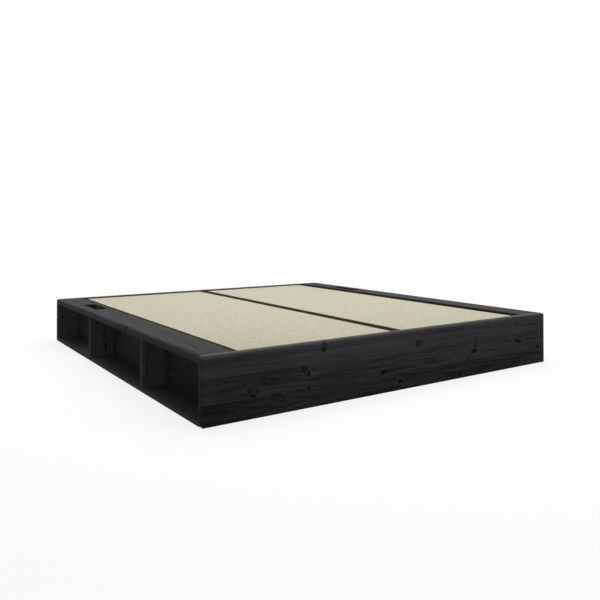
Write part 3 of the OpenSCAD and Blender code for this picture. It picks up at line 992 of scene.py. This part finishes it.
def dress_fittings():
    steel = metal("bracket_steel")
    zinc = metal("zinc_plate")
    cast = metal("cast_zinc")
    glide = glide_plastic()
    beech = pine("beech_dowels", "left_dowels", BARE_PINE, "y", "z", seed=DOWEL_SEED, knotty=NO_KNOTS)
    for node in ("foot_beam_bracket", "head_beam_bracket"):
        put_material(node, steel)
    put_material("leg_bolts", zinc)
    for node in ("bracket_screws", "slat_screws"):
        make_screws(node, zinc)
    put_material("leg_glides", glide)
    for side in SIDES:
        put_material(f"{side}_cam_bolts", zinc)
        for part in ("ledge_screws", "unit_screws"):
            make_screws(f"{side}_{part}", zinc)
        make_staples(side, zinc)
        put_material(f"{side}_cams", cast)
        put_material(f"{side}_dowels", beech)


# ---- soft pieces

# Woven rush: pitch of warps and stems, length of a stem, a ridge's height and how round it is, the
# sheet's thickness, and the radius where it turns down
WARP_PITCH = 15 * MM
STEM_PITCH = 2.1 * MM
STEM_LENGTH = 0.25
RIDGE = 0.45 * MM
RIDGE_POWER = 0.6
RUSH_T = 2.4 * MM
RUSH_END_R = 5 * MM
# Steps of the facing: across one warp, round a bend, along the top; and height of its lowest row
WARP_STEPS = 6
FACING_BENDS = 6
FACING_ROWS = 48
FACING_HEM = 20 * MM

RUSH_GREEN = (0.585, 0.592, 0.460)
RUSH_STRAW = (0.675, 0.615, 0.465)
# Brown of used and speckled rush, also painted as shade in the weave's grooves
RUSH_BROWN_AND_SHADE = (0.350, 0.300, 0.180)
# What each mat's batch adds to its share of straw, left and right
RUSH_BATCHES = (0.12, -0.26)
# Layers of noise over the rush: rate across the mat, rate along it, detail
RUSH_WOBBLE = (6, 40, 2)
RUSH_PATCH = (2.2, 1.4, 3)
RUSH_HUE = (14, 24, 3)
RUSH_MOTTLE = (75, 120, 2)
RUSH_WIDE_MOTTLE = (28, 45, 2)
RUSH_SPECK = (90, 260, 2)

# Bindings: width on top and turned under, radius of their folds, and the cloth's thickness
BINDING_TOP = 27 * MM
BINDING_TURN = 30 * MM
BINDING_R = 3 * MM
CLOTH_T = 0.8 * MM
# The binding's turn over the facing's end, and where its tab stops over the mat's underside
BINDING_END_R = RUSH_END_R + 1 * MM
TAB_CLEAR = 1.5 * MM
# Steps of the section: on top, round the upper edge, side, round the lower edge, below
TOP_STEPS = 8
UPPER_STEPS = 6
SIDE_STEPS = 8
LOWER_STEPS = 4
UNDER_STEPS = 6
# Columns that go on down the end face: those on top and round the upper edge
TAB_COLUMNS = TOP_STEPS + UPPER_STEPS
# Steps along the mat, over its rounded end, and down the tab
BINDING_ROWS = 118
END_BENDS = 4
TAB_ROWS = 5
# Ripples of a binding: waves for each metre, start, height in millimetres, and what x adds
RIPPLES = 6
RIPPLE_RANGES = ((2, 9), (0, 6.3), (0.04, 0.10))
RIPPLE_SLANT = 60
RIPPLE_SETTLE = 0.6

# Sheet under a mat: points along and across it, thickness, height and slight waves
BACKING_ROWS = 60
BACKING_COLUMNS = 30
BACKING_T = 0.4 * MM
BACKING_RAISED = 0.6 * MM
BACKING_WAVES = 5
BACKING_RANGES = ((1, 5), (1, 5), (0, 6.3))
BACKING_WAVE = 0.04 * MM

# Ribbons: steps along and across, thickness, play under the mats, and sag between the slats
RIBBON_ROWS = SLAT_COUNT * 12
RIBBON_COLUMNS = 6
RIBBON_T = 0.9 * MM
RIBBON_SUNK = 0.1 * MM
RIBBON_SAG = 2.5 * MM

# Cloths: dark and light colour, thread pitch, and gloss
CLOTHS = {
    "binding_cloth": ((0.010, 0.008, 0.005), (0.026, 0.022, 0.014), 0.9 * MM, 0.02),
    "ribbon_tape": ((0.62, 0.58, 0.48), (0.80, 0.77, 0.68), 1.4 * MM, 0.2),
    "backing_sheet": ((0.30, 0.28, 0.22), (0.42, 0.40, 0.33), 2.5 * MM, 0.2),
}
CLOTH_SLUBS = (900, 60, 2)
CLOTH_CLOUD = 25
BOARD_DARK = (0.34, 0.24, 0.12)
BOARD_LIGHT = (0.55, 0.42, 0.24)
BOARD_STRAW = 400


def grid_piece(name, rows, columns, point, material, thickness, keep=None):
    """A sheet through point(row, column), where keep(row, column) says so, thickened inwards."""
    faces = []
    for i in range(rows - 1):
        for j in range(columns - 1):
            a = i * columns + j
            if keep is None or keep(i, j):
                faces.append((a, a + 1, a + columns + 1, a + columns))
    used = sorted({corner for face in faces for corner in face})
    number = {corner: k for k, corner in enumerate(used)}
    verts = [point(*divmod(corner, columns)) for corner in used]
    faces = [tuple(number[corner] for corner in face) for face in faces]
    mesh = bpy.data.meshes.new(name)
    mesh.from_pydata(verts, [], faces)
    mesh.polygons.foreach_set("use_smooth", [True] * len(faces))
    mesh.materials.append(material)
    piece = new_object(name, mesh)
    solid = piece.modifiers.new("thickness", "SOLIDIFY")
    solid.thickness = thickness
    solid.offset = -1.0
    return piece


def rush_tone(g, x, y, stem_luck, cross_luck):
    """Green to straw by batch, patch and stem, and browner towards the foot end, most on the left."""
    patch = g.layer(RUSH_PATCH, x, y)
    hue = g.layer(RUSH_HUE, x, y)
    batch = g.step(x, -0.01, 0.01, *RUSH_BATCHES)
    straw = g.add(g.times(stem_luck, 0.30), g.swing(patch, 1.3), g.swing(hue, 1.5), batch, 0.33)
    tone = g.blend(g.limited(straw), RUSH_GREEN, RUSH_STRAW)
    mottle = g.layer(RUSH_MOTTLE, x, y)
    wide_mottle = g.layer(RUSH_WIDE_MOTTLE, x, y, 3.0)
    # Browner towards the foot end, most on the left mat
    used = g.times(g.step(y, -0.98, -0.20, 0.22, 0.0), g.step(x, -0.70, -0.05, 1.0, 0.45))
    dull = g.add(g.swing(mottle, 2.0), g.swing(wide_mottle, 1.3), g.swing(cross_luck, 0.12), used, 0.05)
    return g.blend(g.limited(dull), tone, RUSH_BROWN_AND_SHADE)


def rush_material():
    """Rush stems lie across the mat and dip under the warp at every ridge."""
    g = MaterialGraph("woven_rush")
    x, y, z = g.split(g.place)
    warps = g.times(x, 1 / WARP_PITCH)
    column = g.whole(warps)
    odd = g.part(g.times(column, 0.5))
    wobble = g.times(g.layer(RUSH_WOBBLE, x, y), 0.35)
    rows = g.add(g.times(g.minus(y, z), 1 / STEM_PITCH), odd, wobble)
    stem = g.whole(rows)
    round_stem = g.wave(g.times(g.part(rows), math.pi))
    arch = g.wave(g.times(g.part(warps), math.pi))
    stem_luck = g.chance(stem, g.whole(g.times(x, 1 / STEM_LENGTH)))
    cross_luck = g.chance(stem, column, 2.0)
    speck = g.layer(RUSH_SPECK, x, y)
    tone = rush_tone(g, x, y, stem_luck, cross_luck)
    tone = g.blend(g.step(speck, 0.60, 0.75, 0.0, 0.30), tone, RUSH_BROWN_AND_SHADE)
    # Painted shade: browner in the grooves between stems and where they dip under a warp
    groove_shade = g.times(g.step(round_stem, 0.0, 0.7, 1.0, 0.0), 0.30)
    tone = g.blend(g.add(groove_shade, g.step(arch, 0.0, 0.35, 0.18, 0.0)), tone, RUSH_BROWN_AND_SHADE)
    g.bump(g.add(g.times(round_stem, arch, 0.30 * MM), g.times(speck, 0.05 * MM)))
    return g.finish(tone, g.add(g.times(stem_luck, 0.12), 0.55), Specular_IOR_Level=0.30)


def facing_path(low, high):
    """The facing's places (y, z): up one short end, over the top and down the other."""
    path = [(low.y, low.z), (low.y, low.z + FACING_HEM)]
    for k in range(FACING_BENDS + 1):
        turn = QUARTER_TURN * k / FACING_BENDS
        y = low.y + RUSH_END_R * (1 - math.cos(turn))
        path.append((y, high.z - RUSH_END_R * (1 - math.sin(turn))))
    down = [(low.y + high.y - y, z) for y, z in reversed(path)]
    flat = high.y - low.y - 2 * RUSH_END_R
    for k in range(1, FACING_ROWS):
        path.append((low.y + RUSH_END_R + flat * k / FACING_ROWS, high.z))
    return path + down


def make_facing(side, material):
    """Rush facing: over the top of the mat and turned down at both short ends."""
    low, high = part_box(f"{side}_mat_facing")
    path = facing_path(low, high)
    columns = round((high.x - low.x) / WARP_PITCH) * WARP_STEPS + 1

    def point(i, j):
        x = low.x + (high.x - low.x) * j / (columns - 1)
        y, z = path[i]
        dip = RIDGE * (1 - abs(math.sin(math.pi * x / WARP_PITCH)) ** RIDGE_POWER)
        on_top = min(1.0, max(0.0, (z - high.z + RUSH_END_R) / RUSH_END_R))
        return (x, y, z - dip * on_top)

    piece = grid_piece(f"{side}_rush_facing", len(path), columns, point, material, RUSH_T)
    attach(piece, f"{side}_mat")
    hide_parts(f"{side}_mat_facing")


def cloth_material(name):
    """Plain-woven cloth: threads cross at a pitch, with slight slubs."""
    dark, light, pitch, gloss = CLOTHS[name]
    g = MaterialGraph(name)
    x, y, z = g.split(g.place)
    flat = g.add(x, z)
    warp = g.wave(g.times(flat, 2 * math.pi / pitch))
    weft = g.wave(g.times(y, 2 * math.pi / pitch))
    weave = g.times(warp, weft)
    slub = g.layer(CLOTH_SLUBS, flat, y)
    cloud = g.noise(g.place, CLOTH_CLOUD, 3)
    share = g.add(g.times(weave, 0.25), g.swing(slub, 1.0), g.swing(cloud, 0.8), 0.5)
    g.bump(g.add(g.times(weave, 0.08 * MM), g.times(slub, 0.05 * MM)))
    tone = g.blend(g.limited(share), dark, light)
    return g.finish(tone, g.add(g.swing(slub, 0.2), 0.75), Specular_IOR_Level=gloss)


def binding_section(height):
    """Section of the cloth, from its inner edge on top round the mat's side to its edge below."""
    points = []
    for k in range(TOP_STEPS):
        points.append((BINDING_TOP + (BINDING_R - BINDING_TOP) * k / TOP_STEPS, height))
    for k in range(UPPER_STEPS + 1):
        turn = QUARTER_TURN * k / UPPER_STEPS
        points.append((BINDING_R * (1 - math.sin(turn)), height - BINDING_R * (1 - math.cos(turn))))
    for k in range(1, SIDE_STEPS):
        points.append((0.0, height - BINDING_R + (2 * BINDING_R - height) * k / SIDE_STEPS))
    for k in range(LOWER_STEPS + 1):
        turn = QUARTER_TURN * k / LOWER_STEPS
        points.append((BINDING_R * (1 - math.cos(turn)), BINDING_R * (1 - math.sin(turn))))
    for k in range(1, UNDER_STEPS + 1):
        points.append((BINDING_R + (BINDING_TURN - BINDING_R) * k / UNDER_STEPS, 0.0))
    return points


def binding_rows(length):
    """Rows along a binding: end, place along the mat, turn over the end, share of the way down."""
    straight = length - 2 * RUSH_END_R
    middle = [(0, RUSH_END_R + straight * k / BINDING_ROWS, 0.0, 0.0) for k in range(BINDING_ROWS + 1)]
    turns = [(QUARTER_TURN * k / END_BENDS, 0.0) for k in range(1, END_BENDS + 1)]
    turns += [(QUARTER_TURN, k / TAB_ROWS) for k in range(1, TAB_ROWS + 1)]
    foot = [(-1, RUSH_END_R, turn, down) for turn, down in reversed(turns)]
    head = [(1, length - RUSH_END_R, turn, down) for turn, down in turns]
    return foot + middle + head


def over_end(height, z, turn, down):
    """A tab's point: how far out over the mat's end, and its height."""
    lean = height - z
    out = (BINDING_END_R - lean) * math.sin(turn)
    z = height - lean * math.cos(turn) - BINDING_END_R * (1 - math.cos(turn))
    return out, z - down * (height - BINDING_END_R - TAB_CLEAR)


def lucky_waves(seed, count, ranges):
    """Waves, each with a value from every range."""
    luck = random.Random(seed)
    return [[luck.uniform(*limits) for limits in ranges] for _ in range(count)]


def make_binding(side, edge, material):
    """Cloth folded round a mat's outer or inner long edge, and down its short ends."""
    low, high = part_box(f"{side}_mat_bindings")
    outwards = (edge == "outer") == (side == "left")
    start = low.x if outwards else high.x
    inward = 1 if outwards else -1
    height = high.z - low.z
    section = binding_section(height)
    rows = binding_rows(high.y - low.y)
    waves = lucky_waves(f"{side}{edge}", RIPPLES, RIPPLE_RANGES)

    def point(i, j):
        end, along, turn, down = rows[i]
        y = low.y + along
        x, z = section[j]
        ripple = 0.0
        for rate, phase, size in waves:
            ripple += size * MM * math.sin(rate * 2 * math.pi * y + phase + x * RIPPLE_SLANT)
        inner = max(0.0, (x - BINDING_R) / BINDING_TOP)
        settle = -abs(ripple) * RIPPLE_SETTLE if z > BINDING_R else 0.0
        if j <= TAB_COLUMNS:
            out, z = over_end(height, z, turn, down)
        else:
            out = (BINDING_END_R - BINDING_R) * math.sin(turn)
        return (start + inward * (x + ripple * inner), y + end * out, low.z + z + settle)

    def keep(i, j):
        return j < TAB_COLUMNS or max(rows[i][3], rows[i + 1][3]) == 0.0

    name = f"{side}_mat_{edge}_binding"
    piece = grid_piece(name, len(rows), len(section), point, material, CLOTH_T, keep)
    piece.modifiers["thickness"].offset = 1.0 if outwards else -1.0
    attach(piece, f"{side}_mat")
    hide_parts(f"{side}_mat_bindings")


def make_backing(side, material):
    """The sheet under a mat, which is not quite flat."""
    low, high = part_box(f"{side}_mat_backing")
    waves = lucky_waves(side, BACKING_WAVES, BACKING_RANGES)

    def point(i, j):
        x = low.x + (high.x - low.x) * j / (BACKING_COLUMNS - 1)
        y = low.y + (high.y - low.y) * i / (BACKING_ROWS - 1)
        lift = sum(BACKING_WAVE * math.sin(6.3 * (a * x + b * y) + turn) for a, b, turn in waves)
        return (x, y, low.z + BACKING_RAISED + lift)

    name = f"{side}_mat_underside"
    piece = grid_piece(name, BACKING_ROWS, BACKING_COLUMNS, point, material, BACKING_T)
    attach(piece, f"{side}_mat")
    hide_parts(f"{side}_mat_backing")


def make_ribbon(side, number, material):
    """A tape over a side's slats, which sags a little between them."""
    low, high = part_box(f"{side}_ribbons")
    start = low.x if number == 1 else high.x - RIBBON_WIDE
    pitch = (high.y - low.y - SLAT_FLAT) / (SLAT_COUNT - 1)

    def point(i, j):
        y = low.y + (high.y - low.y) * i / RIBBON_ROWS
        between = min(1.0, max(0.0, ((y - low.y) % pitch - SLAT_FLAT) / (pitch - SLAT_FLAT)))
        sag = RIBBON_SAG * math.sin(math.pi * between) ** 2
        x = start + RIBBON_WIDE * j / RIBBON_COLUMNS
        return (x, y, high.z - RIBBON_SUNK - sag)

    name = f"{side}_ribbon_{number}"
    piece = grid_piece(name, RIBBON_ROWS + 1, RIBBON_COLUMNS + 1, point, material, RIBBON_T)
    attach(piece, "frame")
    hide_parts(f"{side}_ribbons")


def board_material():
    g = MaterialGraph("mat_board")
    straw = g.noise(g.place, BOARD_STRAW, 4, 0.7)
    tone = g.blend(g.step(straw, 0.35, 0.65), BOARD_DARK, BOARD_LIGHT)
    g.bump(g.times(straw, 0.4 * MM))
    return g.finish(tone, g.add(g.times(straw, 0.2), 0.7))


def make_soft_pieces():
    rush = rush_material()
    binding = cloth_material("binding_cloth")
    tape = cloth_material("ribbon_tape")
    backing = cloth_material("backing_sheet")
    board = board_material()
    for side in SIDES:
        make_facing(side, rush)
        for edge in ("outer", "inner"):
            make_binding(side, edge, binding)
        make_backing(side, backing)
        for number in (1, 2):
            make_ribbon(side, number, tape)
        put_material(f"{side}_mat_core", board)


# ---- the scene

def main():
    bpy.context.scene.view_settings.view_transform = "Standard"
    make_camera()
    make_world()
    for name, settings in LAMPS.items():
        make_lamp(name, *settings)
    make_floor()
    dress_pine()
    dress_fittings()
    make_soft_pieces()


main()
